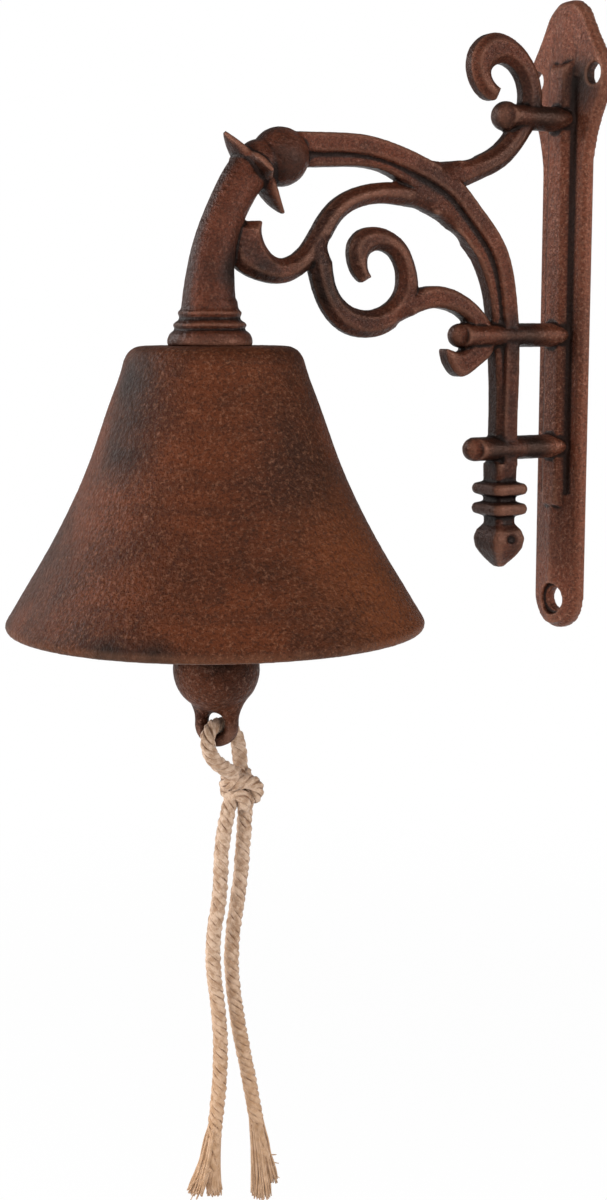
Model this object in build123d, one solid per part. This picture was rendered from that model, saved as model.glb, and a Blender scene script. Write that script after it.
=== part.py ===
from build123d import *
import math
import os

# Frame: the wall is the plane X = 0 and lies on the +X side, the arm reaches out
# along -X in the plane Y = 0, and +Z is up. The origin is the middle of the back
# of the wall plate. All lengths are in millimetres.

os.makedirs("parts", exist_ok=True)

# Wall plate
PLATE_HALF_W = 10.6
PLATE_EDGE_T = 3.6
PLATE_BEVEL = 1.4
PLATE_BOTTOM = -97.0
RIB_FRONT_X = -6.6
RIB_HALF_TOP = 3.2
RIB_HALF_BASE = 5.8
RIB_Z = (-57.0, 79.0)
HEAD_HOLE_Z = 75.0
HEAD_HOLE_PITCH = 27.0
HEAD_HOLE_D = 6.5
FOOT_HOLE_Z = -87.5
FOOT_HOLE_D = 7.0
SINK_D = 10.0
SINK_DEPTH = 0.6

# Scrollwork: half thicknesses across the arm, and the bevel of each bar
STRIP_W = 5.6
STRIP_HALF_T = 4.6
BAND_HALF_T = 3.0
SCROLL_HALF_T = 3.3
SCROLL_BEVEL = 2.2
BAR_X = -26.2

# Cross bars between the scrollwork and the plate
RUNG_HALF_H = 3.7
RUNG_HALF_T = 5.6

# Bell
BELL_X = -128.0
CROWN_Z = -6.0
CROWN_T = 5.0
RIM_Z = -86.0
FOOT_X = BELL_X - 1.3

# Hanger inside the bell
BOLT_D = 6.0
BOLT_TOP_Z = 8.0
NUT_FLATS = 10.0
NUT_H = 4.6
EYE_Z = -22.4
EYE_R = 5.0
EYE_WIRE_R = 1.7
LINK_R = 5.2
LINK_WIRE_R = 1.4
PLAY = 0.05

# Clapper
BALL_Z = -98.0
BALL_R = 12.5
LUG_Z = -113.9
LUG_R = 6.9
LUG_HOLE_D = 6.4
LUG_T = 5.0
LUG_TURN = -60.0

# Pull rope
ROPE_D = 4.5
KNOT_X = -120.4
KNOT_Z = -133.6

LINK_TOP_Z = EYE_Z - EYE_R + EYE_WIRE_R + LINK_WIRE_R + PLAY
LINK_Z = LINK_TOP_Z - LINK_R
CLAP_EYE_Z = LINK_Z - LINK_R + LINK_WIRE_R + PLAY + EYE_WIRE_R - EYE_R


def bar(edge_a, edge_b, half_t, bevel):
    """A flat bar between two free curves in the plane of the arm, bevelled on both faces."""
    with BuildPart() as made:
        with BuildSketch(Plane.XZ):
            with BuildLine():
                a = Spline(*edge_a)
                b = Spline(*edge_b)
                Line(a @ 1, b @ 0)
                Line(b @ 1, a @ 0)
            make_face()
        extrude(amount=half_t, both=True)
        faces = made.faces().filter_by(Axis.Y)
        chamfer(faces.edges(), bevel)
    return made.part


def wall_plate():
    """The plate with its leaf-shaped head, its rib and the three screw holes."""
    head = [
        (PLATE_HALF_W, 46), (11.3, 52), (13, 58.5), (15.6, 64.5), (18, 69.3),
        (18.8, 74.4), (17.5, 79.4), (14.8, 83.8), (12.3, 87.6), (10.3, 91.2),
        (8.2, 94.6), (5, 97.1), (0, 98),
    ]
    with BuildPart() as made:
        with BuildSketch(Plane.YZ):
            with BuildLine():
                right = Spline(*head, tangents=[(0, 1), (-1, 0)])
                left = mirror(right, about=Plane.YZ)
                low = PLATE_BOTTOM + PLATE_HALF_W
                side_r = Line((PLATE_HALF_W, low), (PLATE_HALF_W, 46))
                Line((-PLATE_HALF_W, low), (-PLATE_HALF_W, 46))
                RadiusArc((PLATE_HALF_W, low), (-PLATE_HALF_W, low), PLATE_HALF_W)
            make_face()
        extrude(amount=-PLATE_EDGE_T)
        chamfer(made.faces().sort_by(Axis.X)[0].edges(), PLATE_BEVEL)
    return made.part


def head_crest():
    """The faint ridge from the rib up to the tip of the head."""
    rows = ((RIB_Z[1] - 4, 7.4, 1.9), (94.0, 3.2, 0.3))
    base = -PLATE_EDGE_T + 0.5
    return loft([
        Plane.XY.offset(z) * make_face(Polyline(
            (base, -half), (-PLATE_EDGE_T, -half), (-PLATE_EDGE_T - height, 0),
            (-PLATE_EDGE_T, half), (base, half), close=True,
        )) for z, half, height in rows
    ], ruled=True)


def rib():
    """The raised rib in the middle of the plate, rounded at its lower end."""
    length = RIB_Z[1] - RIB_Z[0]
    with BuildPart() as made:
        with BuildSketch(Plane.XY.offset(RIB_Z[0])):
            with BuildLine():
                Polyline(
                    (-PLATE_EDGE_T + 0.5, -RIB_HALF_BASE), (RIB_FRONT_X, -RIB_HALF_TOP),
                    (RIB_FRONT_X, RIB_HALF_TOP), (-PLATE_EDGE_T + 0.5, RIB_HALF_BASE),
                    close=True,
                )
            make_face()
        extrude(amount=length)
        top = made.edges().filter_by(Axis.Y).group_by(Axis.Z)[-1].sort_by(Axis.X)[0]
        fillet(top, 2.6)
    return made.part


def plate_crest():
    """The low roof on the bare lower end of the plate, rounded as the plate's end is."""
    half = PLATE_HALF_W - PLATE_BEVEL - 0.2
    with BuildPart() as made:
        with BuildSketch(Plane.XY.offset(PLATE_BOTTOM)):
            with BuildLine():
                Polyline(
                    (-PLATE_EDGE_T + 0.5, -half), (-PLATE_EDGE_T, -half),
                    (RIB_FRONT_X + 0.9, 0), (-PLATE_EDGE_T, half),
                    (-PLATE_EDGE_T + 0.5, half),
                    close=True,
                )
            make_face()
        extrude(amount=RIB_Z[0] - PLATE_BOTTOM + 3)
    low = PLATE_BOTTOM + PLATE_HALF_W
    rise = RIB_Z[0] + 3 - low
    round_end = Location((0, 0, low), (0, 90, 0)) * Cylinder(half, 20)
    straight = Pos(0, 0, low + rise / 2) * Box(20, 2 * half, rise)
    return made.part & (round_end + straight)


def screw_hole(y, z, diameter):
    """A through hole along X."""
    return Location((-20, y, z), (0, 90, 0)) * Cylinder(diameter / 2, 60)


def spot_face(y, z):
    """A shallow round seat for a screw head, cut from the front into the plate."""
    depth = 8
    floor = -PLATE_EDGE_T + SINK_DEPTH
    return Location((floor - depth / 2, y, z), (0, 90, 0)) * Cylinder(SINK_D / 2, depth)


def arm_band():
    """The broad inner band of the arm, from the ball down to the finial."""
    outer = [
        (-102.4, 52.8), (-95, 53), (-88, 52.8), (-79, 52.4), (-68.7, 50.6), (-59.7, 47.8),
        (-51.3, 44.4), (-43.6, 40), (-38.2, 34), (-32.4, 28), (-27.8, 20.8),
        (-25.6, 13.2), (-24.4, 6), (-23.6, -2), (-23.4, -12), (-23.4, -44),
    ]
    inner = [
        (-30.2, -44), (-30.2, -10), (-31, -2), (-32, 5.4), (-33.1, 10.2),
        (-34.9, 14.7), (-38.3, 20.7), (-43.2, 26.5), (-48, 30.3), (-55.8, 35.3),
        (-62, 39.2), (-66.7, 41.9), (-70.7, 43.6), (-77.1, 44.8), (-88.1, 44.6),
        (-95, 44.2), (-102.4, 43.9),
    ]
    return bar(outer, inner, BAND_HALF_T, 0.9)


def arm_strip():
    """The raised outer strip of the arm, one bar from the ball to the finial."""
    points = [
        (-102.4, 50.8), (-95, 51), (-88, 51.2), (-79, 50.9), (-69.4, 49), (-60.8, 46.3),
        (-52.8, 43), (-45.6, 38.6), (-40, 33), (-34.2, 26.9), (-29.6, 20),
        (-27.4, 13), (-26.2, 6), (-25.3, -2), (-25, -10), (-25, -44),
    ]
    middle = Spline(*[(x, 0, z) for x, z in points])
    start = Plane(middle @ 0, x_dir=(0, 1, 0), z_dir=middle % 0)
    section = start * RectangleRounded(2 * STRIP_HALF_T, STRIP_W, 1.1)
    return sweep(section, path=middle)


def s_scroll():
    """The bar that leaves the arm, dips and hooks up against the neck."""
    upper = [
        (-60, 40.4), (-69.6, 41), (-77.8, 39.9), (-84.5, 37.7), (-89.5, 34.6),
        (-93.6, 30.2), (-98.2, 23.4), (-102.4, 19.6), (-107.5, 18.6),
        (-111.3, 21.5), (-112.9, 25.6), (-112.4, 28.8),
    ]
    lower = [
        (-121.6, 28.4), (-123, 22.5), (-122.4, 17.2), (-118.6, 14), (-113, 12),
        (-106.9, 11.3), (-101.3, 12.8), (-96, 16.4), (-91.6, 21), (-88.7, 26),
        (-85.3, 30.2), (-80.1, 33.2), (-72.7, 34.7), (-64.6, 34.4), (-56, 33.4),
    ]
    return bar(upper, lower, SCROLL_HALF_T, SCROLL_BEVEL)


def c_scroll():
    """The round scroll under the arm, which curls into a spiral."""
    outer = [
        (-97.4, 18.2), (-96.3, 13.5), (-92.3, 4), (-84.9, -2.5), (-76.8, -4.1),
        (-70.6, -3), (-65, 0.2), (-60.6, 5.2), (-58.8, 11), (-60, 17.2),
        (-62.8, 22.6), (-68.3, 26.7), (-75.4, 28), (-80.2, 26.6), (-83.2, 23),
        (-83.3, 18.2), (-81.8, 14.6), (-78.8, 11.8),
    ]
    inner = [
        (-75.2, 13.6), (-77, 16.8), (-76.3, 19.9), (-72.5, 21.2), (-68.3, 19.4),
        (-66, 14.8), (-66.6, 9.4), (-71, 5.3), (-78.3, 4), (-84.8, 6.6),
        (-88.4, 12.4), (-89.4, 18.6), (-92, 23.5),
    ]
    return bar(outer, inner, SCROLL_HALF_T, SCROLL_BEVEL)


def branch():
    """The bar from the round scroll to the arm, which ends in a small hook."""
    top = [
        (-63.5, 6), (-60, 9.6), (-56, 10.9), (-51, 11.1), (-46, 10.1),
        (-40.1, 7.4), (-34.5, 3), (-31, -3), (-31.5, -9), (-35.6, -12.4),
        (-40, -15.2), (-43.4, -16), (-46.6, -13.6), (-48.6, -9.6), (-48.8, -7.4),
    ]
    low = [
        (-45.8, -8.2), (-43.8, -8.6), (-41, -7.6), (-39, -3.6), (-40.8, 0.6),
        (-45.7, 3.5), (-52.3, 4.6), (-58.6, 3.4), (-64, 0.4),
    ]
    return bar(top, low, SCROLL_HALF_T, 1.2)


def upper_scroll():
    """The bar that rises from the arm and curls over beside the plate."""
    inside = [
        (-50.5, 43), (-46.5, 47.4), (-42, 48.6), (-36.2, 50.3), (-30.3, 53.3),
        (-26, 57.3), (-22.6, 62), (-20.8, 67.4), (-21.5, 72), (-23.8, 75.4),
        (-27.2, 77.2), (-31, 76.8), (-33, 74.6), (-32, 72.2), (-29, 70.2),
    ]
    outside = [
        (-30.8, 66.6), (-33.8, 66.6), (-36.8, 68.4), (-39.4, 71.8), (-40.5, 76),
        (-39.8, 80.2), (-36.6, 84.2), (-31.6, 86.2), (-25.8, 85.3),
        (-20.4, 82.2), (-16.3, 77.6), (-13.6, 71), (-13.8, 63.9), (-17.4, 57.4),
        (-22, 51.6), (-28, 46.6), (-35.8, 43.1), (-42, 40.6), (-48, 38.6),
    ]
    return bar(inside, outside, SCROLL_HALF_T + 0.4, SCROLL_BEVEL)


def rung(x, z, knob_r):
    """A cross bar of oval section, from a knob at x to the plate."""
    with BuildPart() as made:
        with BuildSketch(Plane.YZ.offset(x)):
            Ellipse(RUNG_HALF_T, RUNG_HALF_H)
        extrude(amount=-PLATE_EDGE_T + 0.8 - x)
    knob = Pos(x, 0, z) * Sphere(knob_r)
    return Pos(0, 0, z) * made.part + knob


def finial():
    """The two collars and the pointed drop at the lower end of the arm."""
    rows = [
        (-43, 4.0, 4.6), (-48.7, 3.9, 4.4), (-49.6, 5.2, 6.0), (-51, 5.8, 6.6),
        (-52.4, 5.2, 6.0), (-53.3, 3.9, 4.4), (-54.9, 3.9, 4.4), (-55.8, 5.2, 6.0),
        (-57.2, 5.8, 6.6), (-58.6, 5.2, 6.0), (-59.6, 3.7, 4.2), (-61.8, 3.7, 4.2),
        (-64, 4.8, 5.5), (-66.4, 5.2, 5.9), (-69.4, 4.6, 5.1), (-73, 2.7, 3.0),
        (-75.6, 0.9, 1.0),
    ]
    slices = [
        Pos(BAR_X, 0, z) * RectangleRounded(2 * hx, 2 * hy, 0.45 * hx)
        for z, hx, hy in rows
    ]
    drop = loft(slices, ruled=True)
    for side in (-1, 1):
        drop -= Pos(BAR_X, side * 7.1, -66.6) * Sphere(2.3)
    return drop


def neck():
    """The tapering neck, bent over from the collared foot to the calyx."""
    path = Spline(
        (FOOT_X - 0.2, 0, 1), (-129.5, 0, 8), (-129, 0, 14), (-127.8, 0, 21),
        (-125.3, 0, 28), (-122.2, 0, 34.2), (-118.8, 0, 39.6), (-114.3, 0, 44.6),
    )
    stations = [(0.0, 7.9), (0.2, 7.1), (0.42, 6.1), (0.7, 5.7), (1.0, 6.0)]
    rings = [
        Plane(path @ t, z_dir=path % t) * Circle(r) for t, r in stations
    ]
    return sweep(rings, path=path, multisection=True)


def foot():
    """The moulded foot of the neck, which stands on the bell's crown."""
    with BuildPart() as made:
        with BuildSketch(Plane.XZ):
            with BuildLine():
                Polyline(
                    (0, 0), (11.7, 0), (12, 0.9), (11.9, 1.9), (11.3, 3.3),
                    (10.5, 4), (9.8, 4.3), (9.8, 4.9), (10.3, 5.5), (10.2, 6.1),
                    (9.4, 6.7), (8.6, 7.1), (8.5, 8.1), (9, 8.7), (8.9, 9.4),
                    (8.1, 9.9), (7.8, 12.4), (0, 12.4),
                    close=True,
                )
            make_face()
        revolve(axis=Axis.Z)
    return Pos(FOOT_X, 0, CROWN_Z) * made.part


def petal(stations, wide):
    """A pointed leaf through rows of x, y, z, half width along wide and half thickness."""
    middle = Spline(*[row[:3] for row in stations])
    slices = []
    for i, row in enumerate(stations):
        t = i / (len(stations) - 1)
        plane = Plane(middle @ t, x_dir=wide, z_dir=middle % t)
        slices.append(plane * Ellipse(row[3], row[4]))
    return loft(slices)


def calyx():
    """The four pointed leaves at the top of the neck and the ball between them."""
    bud = Pos(-113.2, 0, 44.6) * Sphere(6.6)
    ball = Pos(-106.4, 0, 46.6) * Sphere(8.35)
    petal_up = petal([
        (-116.4, 0, 43.6, 5, 2.4), (-119, 0, 46.8, 5.2, 1.9),
        (-121.6, 0, 49.6, 3.6, 1.3), (-124.3, 0, 52.6, 0.5, 0.5),
    ], (0, 1, 0))
    petal_down = petal([
        (-112.8, 0, 42.8, 4.6, 2.6), (-111.2, 0, 38.8, 5, 2.1),
        (-108.8, 0, 34.8, 3.6, 1.5), (-105, 0, 31, 0.5, 0.5),
    ], (0, 1, 0))
    body = bud + ball + petal_up + petal_down
    for side in (-1, 1):
        body += petal([
            (-115.6, side * 2.5, 43.2, 4.6, 2.4), (-115.6, side * 6, 43.4, 4.8, 1.9),
            (-115.6, side * 8.8, 42.9, 3.2, 1.3), (-115.4, side * 11.2, 41.8, 0.5, 0.5),
        ], (-0.67, 0, 0.74))
    return body


def bracket():
    """The whole casting: plate, rungs, arm, scrolls, neck and foot."""
    body = wall_plate() + rib() + plate_crest() + head_crest()
    for x, z, r in ((-26.2, 62.2, 4.5), (-42.6, -3.6, 3.7), (-36.4, -38.4, 3.7)):
        body += rung(x, z, r)
    for piece in (
        arm_band(), arm_strip(), s_scroll(), c_scroll(), branch(),
        upper_scroll(), finial(), neck(), foot(), calyx(),
    ):
        body += piece
    for y in (-HEAD_HOLE_PITCH / 2, HEAD_HOLE_PITCH / 2):
        body -= screw_hole(y, HEAD_HOLE_Z, HEAD_HOLE_D)
    body -= screw_hole(0, FOOT_HOLE_Z, FOOT_HOLE_D)
    body -= spot_face(0, FOOT_HOLE_Z)
    bolt_room = BOLT_TOP_Z - CROWN_Z
    body -= Pos(BELL_X, 0, CROWN_Z + bolt_room / 2) * Cylinder(BOLT_D / 2, bolt_room)
    return body


def bell():
    """The cast bell, turned about its own axis, with the hole for the bolt."""
    outside = [
        (25.6, -11.2), (28.9, -20.6), (32.6, -31), (36.6, -41.6), (41.9, -53),
        (48.2, -64.6), (54.6, -75.2), (59.6, -83.4),
    ]
    inside = [
        (55.8, -84.6), (50.6, -76.6), (44.2, -66.6), (37.7, -55), (32.3, -43.2),
        (28.2, -32.2), (24.4, -21.6), (21, -13.6),
    ]
    with BuildPart() as made:
        with BuildSketch(Plane.XZ):
            with BuildLine():
                crown = Line((BOLT_D / 2 + 0.2, CROWN_Z), (19.6, CROWN_Z))
                flank = Spline(*outside, tangents=[(0.25, -1), (0.55, -0.85)])
                shoulder = Spline(crown @ 1, flank @ 0, tangents=[(1, 0), (0.25, -1)])
                wall = Spline(*inside)
                ThreePointArc(flank @ 1, (58.4, RIM_Z), wall @ 0)
                under = Line((16.4, CROWN_Z - CROWN_T), (BOLT_D / 2 + 0.2, CROWN_Z - CROWN_T))
                Spline(wall @ 1, under @ 0, tangents=[wall % 1, (-1, 0)])
                Line(under @ 1, crown @ 0)
            make_face()
        revolve(axis=Axis.Z)
    return Pos(BELL_X, 0, 0) * made.part


def ring_xz(x, z, radius, wire_r):
    """A ring whose hole runs along Y."""
    return Location((x, 0, z), (90, 0, 0)) * Torus(radius, wire_r)


def eye_bolt():
    """The bolt through the crown, with a ring at its lower end."""
    foot_z = EYE_Z + EYE_R
    shank = Pos(BELL_X, 0, (BOLT_TOP_Z + foot_z) / 2) * Cylinder(
        BOLT_D / 2, BOLT_TOP_Z - foot_z
    )
    return shank + ring_xz(BELL_X, EYE_Z, EYE_R, EYE_WIRE_R)


def crown_nut():
    """The hexagon nut that clamps the crown from inside."""
    top = CROWN_Z - CROWN_T
    with BuildPart() as made:
        with BuildSketch(Plane.XY.offset(top)):
            RegularPolygon(NUT_FLATS / 2, 6, major_radius=False)
            Circle(BOLT_D / 2, mode=Mode.SUBTRACT)
        extrude(amount=-NUT_H)
    return Pos(BELL_X, 0, 0) * made.part


def link():
    """The ring that carries the clapper, its hole along X."""
    return Location((BELL_X, 0, LINK_Z), (0, 90, 0)) * Torus(LINK_R, LINK_WIRE_R)


def clapper():
    """Upper ring, shank, striking ball and the pierced lug for the rope."""
    shank_top = CLAP_EYE_Z - EYE_R
    shank_low = BALL_Z + BALL_R - 3
    with BuildPart() as made:
        with BuildSketch(Plane.XZ):
            with BuildLine():
                side = Spline((2.6, shank_top), (3.6, shank_top - 8), (4.2, shank_low))
                Polyline(side @ 1, (0, shank_low), (0, shank_top), side @ 0)
            make_face()
        revolve(axis=Axis.Z)
    shank = Pos(BELL_X, 0, 0) * made.part
    ball = Pos(BELL_X, 0, BALL_Z) * Sphere(BALL_R)
    eye = ring_xz(BELL_X, CLAP_EYE_Z, EYE_R, EYE_WIRE_R)
    return shank + eye + ball + rope_lug()


def rope_lug():
    """The flat lug under the ball, drilled and rounded for the rope."""
    with BuildPart() as made:
        with BuildSketch(Plane.XZ):
            with Locations((0, LUG_Z)):
                Circle(LUG_R)
            with BuildLine():
                Polyline(
                    (-10.2, BALL_Z - 6), (10.2, BALL_Z - 6), (LUG_R, LUG_Z + 2),
                    (LUG_R, LUG_Z), (-LUG_R, LUG_Z), (-LUG_R, LUG_Z + 2), close=True,
                )
            make_face()
            with Locations((0, LUG_Z)):
                Circle(LUG_HOLE_D / 2, mode=Mode.SUBTRACT)
        extrude(amount=LUG_T / 2, both=True)
        faces = made.faces().filter_by(Axis.Y)
        top_z = BALL_Z - 6.5
        fillet(faces.edges().filter_by(lambda e: e.center().Z < top_z), 1.7)
    return Location((BELL_X, 0, 0), (0, 0, LUG_TURN)) * made.part


def corner_radii(points):
    """One bend radius for each inner point, as large as its shorter run allows."""
    radii = []
    for a, b, c in zip(points, points[1:], points[2:]):
        before = Vector(*b) - Vector(*a)
        after = Vector(*c) - Vector(*b)
        half_turn = math.radians(before.get_angle(after)) / 2
        radii.append(0.45 * min(before.length, after.length) / math.tan(half_turn))
    return radii


def rope(name, points):
    """A round tube along straight runs and tangent bends through the chosen points."""
    radii = corner_radii(points)
    path = FilletPolyline(*points, radius=radii)
    section = Plane(path @ 0, z_dir=path % 0) * Circle(ROPE_D / 2)
    tube = sweep(section, path=path)
    full = math.pi * ROPE_D ** 2 / 4 * path.length
    print(
        name, "length", round(path.length, 1), "radii", [round(r, 1) for r in radii],
        "volume share", round(tube.volume / full, 3),
    )
    return tube


def rope_loop():
    """The loop through the lug, from the knot up one side and down the other."""
    return rope("rope_loop", [
        (-122.8, -1.5, -129.4), (-127.6, -2.5, -126.8), (-132.4, -3, -122.4),
        (-132.7, -2.7, -114.7), (-123.3, 2.7, -114.7), (-119.4, 3, -119.8),
        (-118.9, 2.6, -125.4), (-119.2, 1.4, -130.2),
    ])


def rope_tail_left():
    """The longer strand on the left, which waves below the knot."""
    return rope("rope_tail_left", [
        (-123, 0, -136), (-127.2, -0.6, -148), (-127.4, -0.8, -164),
        (-131.2, -0.8, -182), (-127.6, -0.8, -205.6), (-128.4, -0.5, -228.3),
        (-131.4, 0, -250),
    ])


def rope_tail_right():
    """The strand on the right below the knot."""
    return rope("rope_tail_right", [
        (-118.2, 0, -136), (-118.8, 0.8, -150), (-119.8, 1.2, -164),
        (-123.6, 1.2, -184), (-121.4, 0.8, -205.6), (-116.6, 0.4, -228.3),
        (-113.4, 0, -250),
    ])


def rope_knot(strands):
    """The tied knot, with room for the strands that run into it."""
    core = Pos(KNOT_X, 0, KNOT_Z + 0.4) * Sphere(4.9)
    wrap = Location((KNOT_X, 0, KNOT_Z + 0.8), (8, -14, 0)) * Torus(3.9, 2.5)
    lobe = Pos(KNOT_X + 4, -0.6, KNOT_Z - 0.6) * Sphere(3.3)
    body = core + wrap + lobe
    for strand in strands:
        body -= strand
    return body


if __name__ == "__main__":
    rope_pieces = {
        "rope_loop": rope_loop(),
        "rope_tail_left": rope_tail_left(),
        "rope_tail_right": rope_tail_right(),
    }
    pieces = {
        "bracket": bracket(),
        "bell": bell(),
        "eye_bolt": eye_bolt(),
        "crown_nut": crown_nut(),
        "hanger_link": link(),
        "clapper": clapper(),
        "rope_knot": rope_knot(rope_pieces.values()),
        **rope_pieces,
    }
    for name, piece in pieces.items():
        export_step(piece, "parts/" + name + ".step")
        print(name, len(piece.solids()), round(piece.volume), piece.bounding_box())
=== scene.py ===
import math
import random

import bmesh
import bpy
import numpy as np
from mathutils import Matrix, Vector, kdtree, noise


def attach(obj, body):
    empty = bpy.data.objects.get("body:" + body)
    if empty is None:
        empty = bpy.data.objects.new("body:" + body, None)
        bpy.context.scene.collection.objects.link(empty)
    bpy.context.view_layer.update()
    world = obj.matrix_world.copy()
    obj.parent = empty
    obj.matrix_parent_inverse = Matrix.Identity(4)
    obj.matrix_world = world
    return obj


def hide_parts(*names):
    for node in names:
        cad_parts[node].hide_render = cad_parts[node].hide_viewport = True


# Looks of a cast-iron wall bell, in the frame of the CAD model: the wall is the plane
# X = 0, the arm reaches out along -X, and +Z is up. Lengths are in metres, apart from
# the values below whose comment says millimetres.

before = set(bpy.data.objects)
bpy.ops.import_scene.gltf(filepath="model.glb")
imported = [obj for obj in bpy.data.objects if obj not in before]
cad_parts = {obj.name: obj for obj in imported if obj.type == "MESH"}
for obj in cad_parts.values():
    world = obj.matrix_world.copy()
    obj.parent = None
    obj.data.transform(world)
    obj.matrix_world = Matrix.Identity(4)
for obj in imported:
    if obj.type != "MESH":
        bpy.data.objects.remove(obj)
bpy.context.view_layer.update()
scene = bpy.context.scene
scene.view_settings.view_transform = "Standard"
MM = 0.001

# Camera: where the photograph was taken from
CAMERA_PLACE = (-0.3839, -0.4568, 0.0017)
CAMERA_TURN = 32.0
CAMERA_DOWN = 8.67
CAMERA_LENS = 55.5
LONG_SENSOR = 36.0

# Pull rope: the routes repeat the control points of the CAD model, and they and the
# knot's place are in millimetres
ROPE_D = 4.5 * MM
LOOP_ROUTE = (
    (-122.8, -1.5, -129.4), (-127.6, -2.5, -126.8), (-132.4, -3, -122.4),
    (-132.7, -2.7, -114.7), (-123.3, 2.7, -114.7), (-119.4, 3, -119.8),
    (-118.9, 2.6, -125.4), (-119.2, 1.4, -130.2),
)
LEFT_ROUTE = (
    (-123, 0, -136), (-127.2, -0.6, -148), (-127.4, -0.8, -164),
    (-131.2, -0.8, -182), (-127.6, -0.8, -205.6), (-128.4, -0.5, -228.3),
    (-131.4, 0, -250),
)
RIGHT_ROUTE = (
    (-118.2, 0, -136), (-118.8, 0.8, -150), (-119.8, 1.2, -164),
    (-123.6, 1.2, -184), (-121.4, 0.8, -205.6), (-116.6, 0.4, -228.3),
    (-113.4, 0, -250),
)
KNOT_PLACE = (-120.2, 0.0, -133.8)

# The knot's runs: size, turn and points to the right, towards the camera and up, in
# millimetres
KNOT_ROUTES = (
    (0.98, 0.7, (
        (-0.5, -2.6, 2.4), (-3.4, -1.4, 2.2), (-4.4, 0.8, 1.4), (-2.4, 2.8, 1.2),
        (0.4, 3.4, 2.2), (3.2, 2.2, 2.2), (4.9, 0.6, 0.2), (4.6, -0.4, -2.8),
        (2.6, -1.6, -4.4), (-0.4, -2.2, -3.6),
    )),
    (0.92, 2.1, (
        (-4.2, -0.6, 1), (-4.2, 0.6, -1.4), (-2.8, 1.8, -2.6), (0, 2.6, -1.6),
        (1.4, 2.2, -3.8), (0.8, 1, -6),
    )),
    (0.9, 0.2, ((-1.8, 0.8, 5), (-1.4, 0.2, 2), (-2, 0, -1.6), (-2.6, 0, -4.4))),
    (0.9, 1.4, ((1.2, -1, 4.6), (1.4, -0.6, 1), (1.8, 0, -2.4), (2, 0, -4.6))),
)

# Frayed ends: each tuft's two limits across the section, its tip and its half widths,
# and the two ends of each stray thread, in millimetres
LEFT_TUFTS = (
    (-1.0, -0.05, (-136.8, -0.2, -255.4), (2.3, 2.4)),
    (-0.05, 1.0, (-129.9, 0.2, -257.2), (2.1, 2.4)),
)
LEFT_STRAYS = (
    ((-135.4, -1.4, -250), (-139.4, -1, -253.4)), ((-135.6, -1.2, -252), (-138.8, -1, -257.6)),
)
RIGHT_TUFTS = (
    (-1.0, 0.35, (-113.9, 0, -262.6), (2.9, 2.6)),
    (0.35, 1.0, (-109.6, 0, -258.6), (1.6, 2)),
)
RIGHT_STRAYS = (
    ((-114.4, -1.2, -248.4), (-108.6, -1, -250.6)), ((-113.6, -1.2, -250.4), (-108, -1, -253.6)),
    ((-112.6, -1.2, -253), (-107.8, -1, -258.4)),
)

# Rope lay: four plies, each of several yarns twisted the other way; how uneven a ply
# is, how the bare ends open, and how dark the painted shade in the seams between plies and yarns
# is
PLIES = 4
PLY_R = 0.265 * ROPE_D
HELIX_R = 0.25 * ROPE_D
LAY_PITCH = 9.6 * MM
YARNS = 6
YARN_PITCH = 4.4 * MM
YARN_DEPTH = 0.12
STEP = 0.3 * MM
SIDES = 18
PLY_WOBBLE = 0.16
WOBBLE_SCALE = 420
OPEN_LENGTH = 10 * MM
OPEN_SPREAD = 0.2
OPEN_TURN = 0.35
SEAM_SHADE = (0.37, 0.47)
YARN_SHADE = 0.4

# Loose yarns: how far up the rope they leave it in millimetres, with the outermost
# further up, and their half thicknesses in millimetres
YARN_LEAVES = (5, 12)
OUTER_YARN_LEAVES = 5
YARN_HALF = (0.26, 0.4)
STRAY_HALF = 0.2
FRAY_YARNS = 190

# Castings: remesh size, most triangles, reach of the edge map, and the sand grain's
# height and two scales
BRACKET_VOXEL = 0.48 * MM
BELL_VOXEL = 0.9 * MM
CLAPPER_VOXEL = 0.42 * MM
MOST_TRIANGLES = 186000
EDGE_REACH = 2.4 * MM
GRAIN_HEIGHT = 0.05 * MM
BELL_GRAIN_HEIGHT = 1.3 * GRAIN_HEIGHT
GRAIN_SCALES = (620, 1150)

# Iron colours, written as 0 to 255. A tint is the warm ground, the deep blotches and
# the pale bloom, which is dust and painted sheen at once
BELL_TINT = ((85, 42, 21), (52, 26, 14), (142, 98, 74))
BRACKET_TINT = ((82, 40, 24), (46, 23, 15), (152, 108, 88))
CLAPPER_TINT = ((84, 44, 26), (48, 25, 16), (156, 116, 98))
DARK_BLOTCH = (34, 19, 13)
DARK_BAND = (50, 26, 16)
# Painted shade on the bell's rim
RIM_SHADE_TONE = (40, 24, 16)
DARK_PIT = (30, 17, 11)
# Painted shade on the sides of the bars
SIDE_SHADE_TONE = (24, 14, 10)
# Dark wax and painted shade in the hollows
HOLLOW_WAX_AND_SHADE = (18, 10, 7)
# Dark patches, partly stains and partly painted shade and cast shadow
STAIN_AND_SHADE_TONE = (26, 18, 14)
# Orange pools of painted light
PAINTED_LIGHT_TONE = (126, 70, 36)
# Painted light that makes the plate paler
PLATE_LIGHT_TONE = (136, 78, 56)
IRON_METAL = 0.3
# How strong the painted shade on the sides of the bars is
SIDE_SHADE_SHARE = 0.7
PLATE_LIGHT_SHARE = 0.24

# Where painted shade darkens the bell's rim, and where the bars give way to the plate along X
RIM_SHADE_FADE = (-0.0845, -0.0875)
PLATE_FROM = (-0.02, -0.008)

# Soft patches on the iron, place and radius in millimetres: dark ones that are partly
# stains and partly painted shade and cast shadow, and orange pools of painted light
BELL_STAINS_AND_SHADE = (
    (-161.7, -7.4, -31, 15), (-157, -2, -14, 13), (-178, -32, -86, 10), (-170, -42, -86, 10),
)
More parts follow.
